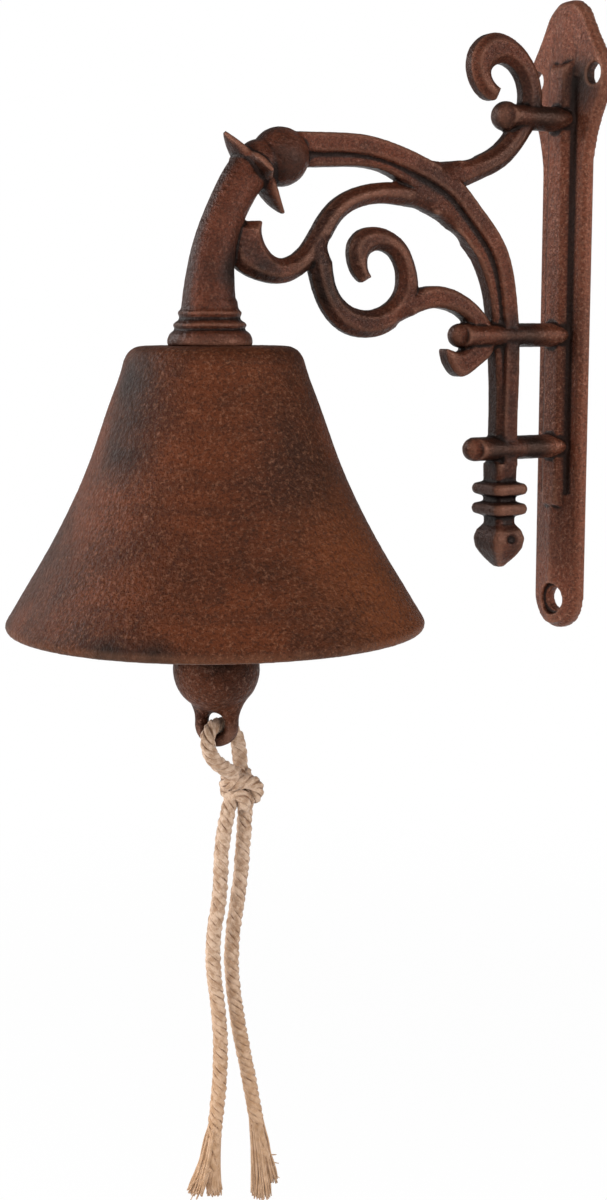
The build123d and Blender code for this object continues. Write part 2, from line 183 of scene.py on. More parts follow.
# A pool of painted light on the bell's lower side towards the camera's right
BELL_PAINTED_LIGHT = ((-92, -52, -66, 50),)
# On the bracket these darken the rungs and the joints between bars, and the patch by the plate's
# rib is a painted cast shadow
BRACKET_STAINS_AND_SHADE = (
    (-13, -5, 62.7, 11), (-22, -5, -3.6, 13), (-16, -5, -38.5, 9), (-29, -5, -38.5, 10),
    (-108, -7, 44, 9), (-94, -4, 9, 14), (-112, -3, 14, 8), (-4, -9, 72, 11),
    (-126, -4, 14, 7),
)
CLAPPER_STAINS_AND_SHADE = ((-134, -10, -91, 10),)

# Browned steel, from its light patches to its dark ones
STEEL_TONES = ((74, 52, 40), (40, 28, 23))
STEEL_METAL = 0.75

# Cotton colours, and the heights between which the rope is more and more tanned
COTTON_TONES = ((190, 162, 139), (150, 118, 92))
# Pale fibres that also serve as painted highlight
FIBRE_AND_HIGHLIGHT_TONE = (214, 193, 174)
TANNED_TONE = (182, 140, 100)
# Painted shade in the rope's grooves and seams
GROOVE_SHADE_TONE = (112, 80, 56)
TANNED_FROM = (-0.16, -0.25)

# Where one form runs into the next: rounds of smoothing, and the place and radius of
# each spot in millimetres
SOFT_ROUNDS = 60
BRACKET_SOFT = (
    (-59, -2.5, 33, 6), (-50, -2.5, 28.5, 5), (-45.5, 1, 23.5, 5), (-48.5, -2.5, 45.5, 5),
    (-41, 1, 48, 5), (-92.4, -3, 20.9, 5), (-64.5, -3, 1.4, 4),
)
CLAPPER_SOFT = ((-128, 0, -108.5, 11),)

# The finial's collars and drop stand out further: its axis, how far from there a point
# may lie, and the widening at each height, in millimetres
FINIAL_AXIS_X = -26.2
FINIAL_REACH = 11.0
FINIAL_SWELL = (
    (-76, 1.35), (-74, 1.28), (-71.3, 1.3), (-69, 1.24), (-66.4, 1.18), (-64, 1.12),
    (-62, 1.0), (-59.6, 1.0), (-58.8, 1.2), (-57.2, 1.16), (-55.6, 1.2), (-54.9, 1.0),
    (-53.3, 1.0), (-52.6, 1.2), (-51, 1.16), (-49.4, 1.2), (-48.7, 1.0),
)

# Webs where two bars of the bracket run together: half thickness and outline in x and
# z, in millimetres
BRACKET_WEBS = (
    (2.8, (
        (-68.5, 50.9), (-64.2, 49.9), (-59.9, 48.7), (-56.2, 47.8), (-53.3, 47.5), (-47, 48),
        (-44.1, 48.3), (-41.1, 48.7), (-38.4, 49.3), (-37.3, 46.6), (-47, 43.5), (-56.2, 44.3),
        (-65.2, 46.8),
    )),
    (2.8, (
        (-63, 34.4), (-60.1, 33.9), (-57.5, 33.4), (-53.8, 32.2), (-49.8, 30.4), (-46, 27.8),
        (-42.8, 25.2), (-40.7, 23.1), (-37.6, 19.8), (-35.3, 20.4), (-38.5, 27.5),
        (-44.6, 32.7), (-52, 36.6), (-60.1, 38.7),
    )),
)

# Stage: the floor fades to plain white between two distances from the origin
FLOOR_Z = -0.40
FLOOR_HALF = 12.0
FLOOR_WHITE = 0.95
FLOOR_FADE = (0.35, 1.0)
WORLD_LEVEL = 0.22

# Lights: name, place, width of the disc and power, all aimed at one spot
AIM = (-0.09, 0.0, -0.03)
LIGHTS = (
    ("rim", (-0.55, 0.8, 0.3), 0.4, 3),
    ("side", (-1.0, 0.35, 0.4), 0.6, 7),
    ("low_side", (-1.0, 0.0, -0.2), 0.5, 4),
    ("front", (-0.6, -0.9, 0.6), 0.7, 6),
    ("fill", (0.45, -0.9, 0.3), 0.6, 8),
)


def make_camera():
    data = bpy.data.cameras.new("camera")
    data.lens = CAMERA_LENS
    data.sensor_width = LONG_SENSOR
    camera = bpy.data.objects.new("camera", data)
    camera.location = CAMERA_PLACE
    camera.rotation_euler = (
        math.radians(90 - CAMERA_DOWN), 0, -math.radians(CAMERA_TURN)
    )
    scene.collection.objects.link(camera)
    scene.camera = camera


def add_object(name, mesh):
    made = bpy.data.objects.new(name, mesh)
    scene.collection.objects.link(made)
    mesh.polygons.foreach_set("use_smooth", [True] * len(mesh.polygons))
    return made


# Colours and node helpers


def linear(red, green, blue):
    """A colour that is written as 0 to 255, as the shader wants it."""
    def channel(value):
        value /= 255
        return value / 12.92 if value <= 0.04045 else ((value + 0.055) / 1.055) ** 2.4
    return (channel(red), channel(green), channel(blue), 1.0)


class Nodes:
    """Short calls for building one node material."""

    def __init__(self, name):
        self.material = bpy.data.materials.new(name)
        self.material.use_nodes = True
        self.tree = self.material.node_tree
        self.shader = self.tree.nodes["Principled BSDF"]
        self.place = self.add("ShaderNodeTexCoord").outputs["Object"]
        self.facing = self.place.node.outputs["Normal"]

    def add(self, kind, **settings):
        node = self.tree.nodes.new(kind)
        for key, value in settings.items():
            setattr(node, key, value)
        return node

    def link(self, source, target):
        self.tree.links.new(source, target)

    def stretched(self, scale):
        node = self.add("ShaderNodeMapping")
        node.inputs["Scale"].default_value = scale
        self.link(self.place, node.inputs["Vector"])
        return node.outputs["Vector"]

    def noise(self, scale, detail=3.0, rough=0.55, vector=None):
        node = self.add("ShaderNodeTexNoise")
        node.inputs["Scale"].default_value = scale
        node.inputs["Detail"].default_value = detail
        node.inputs["Roughness"].default_value = rough
        self.link(vector or self.place, node.inputs["Vector"])
        return node.outputs["Fac"]

    def ramp(self, source, low, high, to_low=0.0, to_high=1.0):
        node = self.add("ShaderNodeMapRange", interpolation_type="SMOOTHSTEP")
        for key, value in (
            ("From Min", low), ("From Max", high), ("To Min", to_low), ("To Max", to_high)
        ):
            node.inputs[key].default_value = value
        self.link(source, node.inputs["Value"])
        return node.outputs["Result"]

    def mix(self, amount, first, second, blend="MIX"):
        node = self.add("ShaderNodeMix", data_type="RGBA", blend_type=blend)
        for source, index in ((amount, 0), (first, 6), (second, 7)):
            if isinstance(source, bpy.types.NodeSocket):
                self.link(source, node.inputs[index])
            else:
                node.inputs[index].default_value = source
        return node.outputs[2]

    def distance(self, spot):
        node = self.add("ShaderNodeVectorMath", operation="DISTANCE")
        self.link(self.place, node.inputs[0])
        node.inputs[1].default_value = spot
        return node.outputs["Value"]

    def along(self, vector, axis):
        """One part, X, Y or Z, of a vector."""
        node = self.add("ShaderNodeSeparateXYZ")
        self.link(vector, node.inputs[0])
        return node.outputs[axis]

    def attribute(self, name):
        return self.add("ShaderNodeAttribute", attribute_name=name).outputs["Fac"]

    def math(self, operation, first, second):
        node = self.add("ShaderNodeMath", operation=operation)
        for index, source in enumerate((first, second)):
            if isinstance(source, bpy.types.NodeSocket):
                self.link(source, node.inputs[index])
            else:
                node.inputs[index].default_value = source
        return node.outputs["Value"]

    def bump(self, height, distance, strength=1.0, normal=None):
        node = self.add("ShaderNodeBump")
        node.inputs["Distance"].default_value = distance
        node.inputs["Strength"].default_value = strength
        self.link(height, node.inputs["Height"])
        if normal is not None:
            self.link(normal, node.inputs["Normal"])
        return node.outputs["Normal"]


def iron_material(
    name, tint, streaks=0.0, dust_and_sheen=0.3, grain_depth=1.0, gloss=0.1, rough=(0.4, 0.62),
    stains_and_shade=(), painted_light=(), plate_from=None,
):
    """Rust-brown cast iron: blotches, dark pits, a bloom that is dust and painted sheen, and a
    sandy grain.

    Two lists give soft patches as x, y, z and radius in millimetres: dark ones, partly
    stains and partly painted shade, and orange pools of painted light.
    plate_from gives two places along X: before the first the bars are smooth with painted
    shade on their sides, and past the second the plate is full of speckle and painted light.
    """
    n = Nodes(name)
    grain = n.noise(1000, 3, 0.7)
    on_plate = n.ramp(n.along(n.place, "X"), *plate_from) if plate_from else None
    colour = blotched(n, tint, on_plate)
    if streaks:
        colour = banded(n, colour, streaks)
    # Pale specks of dust and painted highlight, and dark pits
    colour = speckled(n, colour, tint[2], dust_and_sheen, on_plate)
    # Orange pools of painted light, and dark patches, partly stains and partly painted shade
    colour = stains_and_painted_light(n, colour, grain, stains_and_shade, painted_light)
    # Rubbed edges with a painted highlight, and hollows with dark wax and painted shade
    colour = edge_wear_and_painted_light(n, colour, tint[2])
    # Painted shade on the sides of the bars
    if plate_from:
        colour = painted_side_shade(n, colour, on_plate)
    n.link(colour, n.shader.inputs["Base Color"])
    n.link(n.ramp(grain, 0.3, 0.7, *rough), n.shader.inputs["Roughness"])
    n.shader.inputs["Specular IOR Level"].default_value = gloss
    n.shader.inputs["Metallic"].default_value = IRON_METAL
    coarse = n.bump(n.noise(560, 3, 0.7), 0.8 * MM, grain_depth)
    n.link(n.bump(grain, 0.1 * MM, 0.8, coarse), n.shader.inputs["Normal"])
    return n.material


def blotched(n, tint, on_plate):
    """The ground colour with deep blotches, and painted light that makes the plate paler."""
    blotch = n.ramp(n.noise(30, 4, 0.6), 0.36, 0.68)
    dark = n.ramp(n.noise(75, 4, 0.65, n.stretched((1, 1, 1.5))), 0.52, 0.76)
    colour = n.mix(blotch, linear(*tint[0]), linear(*tint[1]))
    colour = n.mix(n.math("MULTIPLY", dark, 0.55), colour, linear(*DARK_BLOTCH))
    # Painted light on the plate
    if on_plate:
        pale = n.math("MULTIPLY", on_plate, PLATE_LIGHT_SHARE)
        colour = n.mix(pale, colour, linear(*PLATE_LIGHT_TONE))
    return colour


def banded(n, colour, streaks):
    """The bell's faint level bands, and painted shade on its rim."""
    bands = n.ramp(n.noise(9, 4, 0.6, n.stretched((0.6, 0.6, 22))), 0.45, 0.75)
    colour = n.mix(n.math("MULTIPLY", bands, streaks), colour, linear(*DARK_BAND))
    # Painted shade on the rim, growing towards its lower edge
    rim = n.ramp(n.along(n.place, "Z"), *RIM_SHADE_FADE, 0.0, 0.5)
    return n.mix(rim, colour, linear(*RIM_SHADE_TONE))


def speckled(n, colour, bloom_and_sheen, dust_and_sheen, on_plate):
    """Pale specks of dust and painted highlight, fewer on the bars than on the plate, and dark
    pits.
    """
    speck = n.ramp(n.noise(950, 3, 0.75), 0.48, 0.72)
    if on_plate:
        speck = n.math("MULTIPLY", speck, n.ramp(on_plate, 0, 1, 0.35, 1.0))
    pits = n.ramp(n.noise(1300, 2, 0.6, n.stretched((1, 1, 1.2))), 0.52, 0.36)
    colour = n.mix(n.math("MULTIPLY", speck, dust_and_sheen), colour, linear(*bloom_and_sheen))
    return n.mix(n.math("MULTIPLY", pits, 0.5), colour, linear(*DARK_PIT))


def stains_and_painted_light(n, colour, grain, stains_and_shade, painted_light):
    """Soft orange pools of painted light, and ragged dark patches over them that are partly
    stains and partly painted shade.
    """
    for x, y, z, radius in painted_light:
        cloud = n.ramp(n.distance((x * MM, y * MM, z * MM)), radius * MM, 0, 0, 0.5)
        amount = n.math("MULTIPLY", cloud, n.ramp(grain, 0.35, 0.6))
        colour = n.mix(amount, colour, linear(*PAINTED_LIGHT_TONE))
    for x, y, z, radius in stains_and_shade:
        cloud = n.ramp(n.distance((x * MM, y * MM, z * MM)), radius * MM, 0.2 * radius * MM)
        ragged = n.ramp(n.noise(45, 4, 0.7), 0.2, 0.55, 0.3, 1.0)
        amount = n.math("MULTIPLY", n.math("MULTIPLY", cloud, ragged), 0.9)
        colour = n.mix(amount, colour, linear(*STAIN_AND_SHADE_TONE))
    return colour


def edge_wear_and_painted_light(n, colour, bloom_and_sheen):
    """Rubbed edges that also carry a painted highlight, and hollows dark with wax and painted
    shade, from the edge map of the mesh.
    """
    edge = n.ramp(n.attribute("edge"), 0.6, 0.95)
    colour = n.mix(n.math("MULTIPLY", edge, 0.3), colour, linear(*bloom_and_sheen))
    hollow = n.ramp(n.attribute("edge"), 0.485, 0.3)
    return n.mix(n.math("MULTIPLY", hollow, 0.9), colour, linear(*HOLLOW_WAX_AND_SHADE))


def painted_side_shade(n, colour, on_plate):
    """Painted shade on the sides of the bars, which don't face along Y."""
    aside = n.ramp(n.math("ABSOLUTE", n.along(n.facing, "Y"), 0), 0.6, 0.15)
    sides = n.math("MULTIPLY", aside, n.math("SUBTRACT", 1.0, on_plate))
    return n.mix(n.math("MULTIPLY", sides, SIDE_SHADE_SHARE), colour, linear(*SIDE_SHADE_TONE))


def steel_material():
    """Browned steel wire and nut."""
    n = Nodes("browned_steel")
    patch = n.ramp(n.noise(120, 4, 0.6), 0.35, 0.7)
    colour = n.mix(patch, *(linear(*shade) for shade in STEEL_TONES))
    n.link(colour, n.shader.inputs["Base Color"])
    n.shader.inputs["Metallic"].default_value = STEEL_METAL
    n.link(n.ramp(patch, 0, 1, 0.35, 0.6), n.shader.inputs["Roughness"])
    n.link(n.bump(n.noise(1400, 2), 0.03 * MM, 0.7), n.shader.inputs["Normal"])
    return n.material


def cotton_material():
    """Natural cotton: pale fibres along each yarn, which are also a painted highlight, with
    painted shade in the grooves between the yarns.
    """
    n = Nodes("cotton")
    uv = n.add("ShaderNodeUVMap", uv_map="lay").outputs["UV"]
    stretch = n.add("ShaderNodeMapping")
    stretch.inputs["Scale"].default_value = (34, 700, 1)
    n.link(uv, stretch.inputs["Vector"])
    fibre = n.noise(1, 4, 0.65, stretch.outputs["Vector"])
    tone = n.ramp(n.noise(420, 3, 0.65), 0.38, 0.62)
    colour = n.mix(tone, *(linear(*shade) for shade in COTTON_TONES))
    # Pale fibres that also serve as painted highlight
    colour = n.mix(n.ramp(fibre, 0.42, 0.75, 0, 0.5), colour, linear(*FIBRE_AND_HIGHLIGHT_TONE))
    tanned = n.ramp(n.along(n.place, "Z"), *TANNED_FROM, 0, 0.5)
    colour = n.mix(tanned, colour, linear(*TANNED_TONE))
    # Painted shade in the grooves and seams
    groove_shade = n.ramp(n.attribute("groove_shade"), 0.25, 0.9, 0, 0.9)
    colour = n.mix(groove_shade, colour, linear(*GROOVE_SHADE_TONE))
    n.link(colour, n.shader.inputs["Base Color"])
    n.shader.inputs["Roughness"].default_value = 0.92
    n.shader.inputs["Specular IOR Level"].default_value = 0.15
    n.shader.inputs["Sheen Weight"].default_value = 0.2
    n.shader.inputs["Sheen Roughness"].default_value = 0.5
    n.link(n.bump(fibre, 0.08 * MM, 0.9), n.shader.inputs["Normal"])
    return n.material


# Rope


def route_line(name, route, step):
    """Evenly spaced points on the smooth curve that a route's control points give."""
    data = bpy.data.curves.new(name, "CURVE")
    data.dimensions = "3D"
    spline = data.splines.new("NURBS")
    spline.points.add(len(route) - 1)
    for point, place in zip(spline.points, route):
        point.co = (*(value * MM for value in place), 1)
    spline.order_u = 3
    spline.use_endpoint_u = True
    spline.resolution_u = 32
    curve = bpy.data.objects.new(name, data)
    mesh = bpy.data.meshes.new_from_object(curve)
    line = np.array([v.co for v in mesh.vertices], float)
    bpy.data.meshes.remove(mesh)
    bpy.data.curves.remove(data)
    return spaced(line, step)


def spaced(line, step):
    """The same line with points a step apart."""
    runs = np.linalg.norm(np.diff(line, axis=0), axis=1)
    along = np.concatenate([[0], np.cumsum(runs)])
    count = max(4, round(along[-1] / step))
    at = np.linspace(0, along[-1], count + 1)
    return np.stack([np.interp(at, along, line[:, k]) for k in range(3)], axis=1)


def carried_frames(line):
    """Tangents, and two cross directions that turn no more than the line does."""
    tangent = np.gradient(line, axis=0)
    tangent /= np.linalg.norm(tangent, axis=1)[:, None]
    first = np.cross(tangent[0], (0.31, 0.87, 0.38))
    across = [first / np.linalg.norm(first)]
    for t in tangent[1:]:
        turned = across[-1] - t * np.dot(across[-1], t)
        across.append(turned / np.linalg.norm(turned))
    across = np.array(across)
    return tangent, across, np.cross(tangent, across)


def smooth_step(value, low, high):
    t = np.clip((value - low) / (high - low), 0, 1)
    return t * t * (3 - 2 * t)


class Tubes:
    """Collects tubes in one mesh, with a UV map along each and the painted shade of its grooves.
    """

    def __init__(self):
        self.points, self.faces, self.uv, self.groove_shade = [], [], [], []
        self.count = 0

    def add(self, line, radius, sides):
        """radius is one number, or one for each ring, or one for each point of each ring."""
        _, u, v = carried_frames(line)
        angle = np.linspace(0, 2 * math.pi, sides, endpoint=False)
        size = np.asarray(radius, float)
        if size.ndim == 1:
            size = size[:, None]
        size = np.broadcast_to(size, (len(line), sides))
        rings = line[:, None] + size[..., None] * (
            np.cos(angle)[None, :, None] * u[:, None] + np.sin(angle)[None, :, None] * v[:, None]
        )
        base, rows = self.count, len(line)
        self.points.append(rings.reshape(-1, 3))
        self.groove_shade.append(np.zeros(rows * sides))
        runs = np.linalg.norm(np.diff(line, axis=0), axis=1)
        along = np.concatenate([[0], np.cumsum(runs)])
        for i in range(rows - 1):
            for j in range(sides):
                k = (j + 1) % sides
                a, b = base + i * sides, base + (i + 1) * sides
                self.faces.append((a + j, a + k, b + k, b + j))
                left, right = j / sides, (j + 1) / sides
                self.uv += [
                    (left, along[i]), (right, along[i]),
                    (right, along[i + 1]), (left, along[i + 1]),
                ]
        for ring, order in ((0, range(sides - 1, -1, -1)), (rows - 1, range(sides))):
            self.faces.append(tuple(base + ring * sides + j for j in order))
            self.uv += [(0.0, along[ring])] * sides
        self.count += rows * sides
        return rings

    def mesh(self, name):
        mesh = bpy.data.meshes.new(name)
        mesh.from_pydata(np.concatenate(self.points).tolist(), [], self.faces)
        layer = mesh.uv_layers.new(name="lay")
        layer.data.foreach_set("uv", np.array(self.uv, np.float32).reshape(-1))
        groove_shade = mesh.attributes.new("groove_shade", "FLOAT", "POINT")
        groove_shade.data.foreach_set("value", np.concatenate(self.groove_shade).astype(np.float32))
        return mesh


def add_plies(tubes, line, size=1.0, start_turn=0.0, open_end=0.0):
    """The twisted plies along a line; open_end is the length over which they part."""
    _, u, v = carried_frames(line)
    runs = np.linalg.norm(np.diff(line, axis=0), axis=1)
    along = np.concatenate([[0], np.cumsum(runs)])
    left = along[-1] - along
    parting = 1 - smooth_step(left, 0, open_end) if open_end else np.zeros(len(line))
    turn = start_turn - 2 * math.pi * (along - OPEN_TURN * open_end * parting) / LAY_PITCH
    angle = np.linspace(0, 2 * math.pi, SIDES, endpoint=False)
    for ply in range(PLIES):
        phase = turn + 2 * math.pi * ply / PLIES
        reach = (HELIX_R * size * (1 + OPEN_SPREAD * parting))[:, None]
        centre = line + reach * (np.cos(phase)[:, None] * u + np.sin(phase)[:, None] * v)
        twist = YARNS * angle[None] + (2 * math.pi * along / YARN_PITCH)[:, None]
        lobe = 0.5 + 0.5 * np.cos(twist)
        wobble = np.array([
            noise.noise(Vector((place * WOBBLE_SCALE, ply * 7.3, start_turn)))
            for place in along
        ])
        radius = PLY_R * size * (1 + PLY_WOBBLE * wobble)[:, None]
        radius = radius * (1 - YARN_DEPTH * (1 - lobe))
        rings = tubes.add(centre, radius, SIDES)
        out = np.linalg.norm(rings - line[:, None], axis=2) / (ROPE_D * size)
        # Painted shade in the seams between plies, added to that between yarns
        seam = 1 - smooth_step(out, *SEAM_SHADE)
        tubes.groove_shade[-1] = np.clip((1 - lobe) * YARN_SHADE + seam, 0, 1).reshape(-1)


def rope_piece(name, route, node, start_turn, open_end=0.0):
    line = route_line(name, route, STEP)
    tubes = Tubes()
    add_plies(tubes, line, start_turn=start_turn, open_end=open_end)
    made = add_object(name, tubes.mesh(name))
    made.data.materials.append(COTTON)
    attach(made, "clapper_body")
    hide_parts(node)
    return made


def camera_axes():
    """Level directions to the camera's right and towards it."""
    turn = math.radians(CAMERA_TURN)
    right = np.array((math.cos(turn), -math.sin(turn), 0))
    near = np.array((-math.sin(turn), -math.cos(turn), 0))
    return right, near


def facing(route):
    """Points given as right, towards the camera and up, in millimetres about the knot."""
    right, near = camera_axes()
    centre = np.array(KNOT_PLACE)
    return [
        tuple(centre + a * right + b * near + (0, 0, c)) for a, b, c in route
    ]


def rope_knot():
    """The knot: the rope's band over the doubled strands, tucked back under itself."""
    tubes = Tubes()
    for size, turn, route in KNOT_ROUTES:
        add_plies(tubes, route_line("knot_route", facing(route), STEP), size, turn)
    made = add_object("rope_knot_tied", tubes.mesh("rope_knot_tied"))
    made.data.materials.append(COTTON)
    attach(made, "clapper_body")
    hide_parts("rope_knot")
    return made


def disc_spots(count):
    """Evenly spread spots in a unit circle."""
    golden = math.pi * (3 - math.sqrt(5))
    return [
        (math.sqrt((i + 0.5) / count) * math.cos(golden * i),
         math.sqrt((i + 0.5) / count) * math.sin(golden * i)) for i in range(count)
    ]


def fray(name, route, tufts, seed, strays):
    """The loose yarns at a rope's end, gathered into tufts that keep their order.

    Each tuft is its two limits across the section, its tip and its half widths.
    """
    rnd = random.Random(seed)
    line = route_line(name, route, STEP)
    right, near = camera_axes()
    down = line[-1] - line[-20]
    down /= np.linalg.norm(down)
    tubes = Tubes()
    for a, b in disc_spots(FRAY_YARNS):
        low, high, tip, half = next(t for t in tufts if t[0] <= a <= t[1])
        edge = math.hypot(a, b)
        back = rnd.uniform(*YARN_LEAVES) + OUTER_YARN_LEAVES * edge ** 3
        at = len(line) - 1 - round(back * MM / STEP)
        start = line[at] + (right * a + near * b) * ROPE_D * 0.46
        share = (2 * a - low - high) / (high - low)
        end = np.array(tip) * MM + right * share * half[0] * MM + near * b * half[1] * MM
        end += np.array([rnd.gauss(0, 0.2), rnd.gauss(0, 0.2), rnd.gauss(0, 0.6)]) * MM
        yarn(tubes, rnd, start, end, down, rnd.uniform(*YARN_HALF) * MM)
    for start, end in strays:
        ends = np.array((start, end)) * MM
        yarn(tubes, rnd, *ends, down * 0.3, STRAY_HALF * MM)
    made = add_object(name, tubes.mesh(name))
    made.data.materials.append(COTTON)
    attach(made, "clapper_body")
    return made


def yarn(tubes, rnd, start, end, lead, size):
    """One loose yarn, which leaves in the lead direction and waves a little."""
    reach = np.linalg.norm(end - start)
    bend = start + lead * reach * 0.45
    bow = np.array([rnd.gauss(0, 1), rnd.gauss(0, 1), 0]) * 0.3 * MM
    t = np.linspace(0, 1, 15)[:, None]
    path = (1 - t) ** 2 * start + 2 * t * (1 - t) * (bend + bow) + t ** 2 * end
    path += 0.5 * bow * np.sin(t * rnd.uniform(8, 15) + rnd.uniform(0, 6)) * t
    swell = 0.3 + 0.7 * smooth_step(t[:, 0], 0, 0.3)
    taper = 1 - 0.35 * smooth_step(t[:, 0], 0.8, 1)
    tubes.add(path, size * (swell * taper), 6)


# Castings


def add_web(bm, half, outline):
    """A closed slab in the plane of the arm, given by the x and z of its outline."""
    front = [bm.verts.new((x * MM, -half * MM, z * MM)) for x, z in outline]
    back = [bm.verts.new((x * MM, half * MM, z * MM)) for x, z in outline]
    bm.faces.new(front)
    bm.faces.new(back[::-1])
    for i, j in zip(range(-1, len(outline) - 1), range(len(outline))):
        bm.faces.new((front[j], front[i], back[i], back[j]))


def even_mesh(source, voxel, soft_spots, webs, reshape):
    """A CAD part's surface as an even mesh with softened edges, most of all at the spots.

    reshape is None, or a function from the points to where they end up.
    """
    mesh = source.data.copy()
    soldered = bmesh.new()
    soldered.from_mesh(mesh)
    bmesh.ops.remove_doubles(soldered, verts=soldered.verts, dist=1e-6)
    for half, outline in webs:
        add_web(soldered, half, outline)
    soldered.to_mesh(mesh)
    soldered.free()
    rough = bpy.data.objects.new("rough", mesh)
    scene.collection.objects.link(rough)
    remesh = rough.modifiers.new("even", "REMESH")
    remesh.mode = "VOXEL"
    remesh.voxel_size = voxel
    ease = rough.modifiers.new("ease", "SMOOTH")
    ease.factor = 0.5
    ease.iterations = 2
    even = evaluated_copy(rough)
    bpy.data.objects.remove(rough)
    bpy.data.meshes.remove(mesh)
    points, edges = mesh_arrays(even)
    points = softened(points, edges, soft_spots)
    if reshape:
        points = reshape(points)
    even.vertices.foreach_set("co", points.reshape(-1))
    even.update()
    return even


def softened(points, edges, spots):
    """The points with the tips and creases inside each spot blended in."""
    share = np.zeros(len(points))
    for x, y, z, radius in spots:
        far = np.linalg.norm(points - np.array((x, y, z)) * MM, axis=1) / (radius * MM)
        share = np.maximum(share, 1 - smooth_step(far, 0.4, 1))
    for _ in range(SOFT_ROUNDS if spots else 0):
        points = points + share[:, None] * (eased(points, edges, 1) - points)
    return points


def finial_swollen(points):
    """The points with the finial's collars and drop widened about its own upright axis."""
    x, y, z = (points / MM).T
    heights, widths = zip(*FINIAL_SWELL)
    near = (abs(x - FINIAL_AXIS_X) < FINIAL_REACH) & (z < heights[-1])
    factor = np.where(near, np.interp(z, heights, widths), 1.0)
    swollen = np.stack([FINIAL_AXIS_X + (x - FINIAL_AXIS_X) * factor, y * factor, z])
    return swollen.T * MM


def thinned(name, even):
    """The mesh with no more than the most triangles that one piece may have."""
    triangles = sum(len(face.vertices) - 2 for face in even.polygons)
    dense = bpy.data.objects.new("dense", even)
    scene.collection.objects.link(dense)
    thin = dense.modifiers.new("thin", "DECIMATE")
    thin.ratio = min(1.0, MOST_TRIANGLES / triangles)
    final = evaluated_copy(dense)
    bpy.data.objects.remove(dense)
    final.name = name
    print(name, "triangles", sum(len(face.vertices) - 2 for face in final.polygons))
    return final


def evaluated_copy(shown):
    """The mesh that an object's modifiers give, as data of its own."""
    graph = bpy.context.evaluated_depsgraph_get()
    graph.update()
    return bpy.data.meshes.new_from_object(shown.evaluated_get(graph))


def mesh_arrays(mesh):
    points = np.empty(len(mesh.vertices) * 3)
    mesh.vertices.foreach_get("co", points)
    edges = np.empty(len(mesh.edges) * 2, np.int64)
    mesh.edges.foreach_get("vertices", edges)
    return points.reshape(-1, 3), edges.reshape(-1, 2)


def eased(points, edges, rounds, keep=0.0):
    """Points moved towards the mean of their neighbours, again and again."""
    count = np.bincount(edges.reshape(-1), minlength=len(points))[:, None]
    for _ in range(rounds):
        total = np.zeros_like(points)
        for k in range(3):
            total[:, k] = np.bincount(
                edges[:, 0], weights=points[edges[:, 1], k], minlength=len(points)
            ) + np.bincount(
                edges[:, 1], weights=points[edges[:, 0], k], minlength=len(points)
            )
        points = keep * points + (1 - keep) * total / count
    return points


def normals_of(mesh):
    normals = np.empty(len(mesh.vertices) * 3)
    mesh.vertices.foreach_get("normal", normals)
    return normals.reshape(-1, 3)


def edge_map(even, rounds, places):
    """How far each place stands out of the broad shape: 0.5 is flat, more is an edge."""
    points, edges = mesh_arrays(even)
    broad = eased(points, edges, rounds, keep=0.3)
    out = np.clip(0.5 + 0.9 * ((points - broad) * normals_of(even)).sum(1) / MM, 0, 1)
    tree = kdtree.KDTree(len(points))
    for index, point in enumerate(points):
        tree.insert(point, index)
    tree.balance()
    return out[[tree.find(place)[1] for place in places]]


def casting(
    name, node, body, material, voxel, grain, soft_spots=(), webs=(), reshape=None,
):
    """The visible casting: the CAD form with soft edges, sand grain and its edge map."""
    even = even_mesh(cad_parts[node], voxel, soft_spots, webs, reshape)
    mesh = thinned(name, even)
    points, _ = mesh_arrays(mesh)
    normals = normals_of(mesh)
    edge = edge_map(even, round((EDGE_REACH / voxel) ** 2), points)
    bpy.data.meshes.remove(even)
    broad, fine = GRAIN_SCALES
    lift = np.array([
        noise.noise(Vector(p) * broad) + 0.6 * noise.noise(Vector(p) * fine) for p in points
    ])
    points = points + normals * (grain * lift)[:, None]
    mesh.vertices.foreach_set("co", points.reshape(-1))
    stored = mesh.attributes.new("edge", "FLOAT", "POINT")
    stored.data.foreach_set("value", edge.astype(np.float32))
    mesh.update()
    made = add_object(name, mesh)
    mesh.materials.clear()
    mesh.materials.append(material)
    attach(made, body)
    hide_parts(node)
    return made


def dress(node, material):
    """A CAD part that keeps its shape and gets a better material."""
    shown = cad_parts[node]
    shown.data.materials.clear()
    shown.data.materials.append(material)


# Stage


def white_to_camera(tree, lit, amount):
    """Mixes a lit shader with plain white, which only the camera and mirrors see."""
    path = tree.nodes.new("ShaderNodeLightPath")
    seen = tree.nodes.new("ShaderNodeMath")
    seen.operation = "MAXIMUM"
    tree.links.new(path.outputs["Is Camera Ray"], seen.inputs[0])
    tree.links.new(path.outputs["Is Glossy Ray"], seen.inputs[1])
    share = tree.nodes.new("ShaderNodeMath")
    share.operation = "MULTIPLY"
    tree.links.new(amount, share.inputs[1])
    tree.links.new(seen.outputs[0], share.inputs[0])
    white = tree.nodes.new("ShaderNodeEmission")
    mix = tree.nodes.new("ShaderNodeMixShader")
    tree.links.new(share.outputs[0], mix.inputs[0])
    tree.links.new(lit, mix.inputs[1])
    tree.links.new(white.outputs[0], mix.inputs[2])
    return mix.outputs[0]


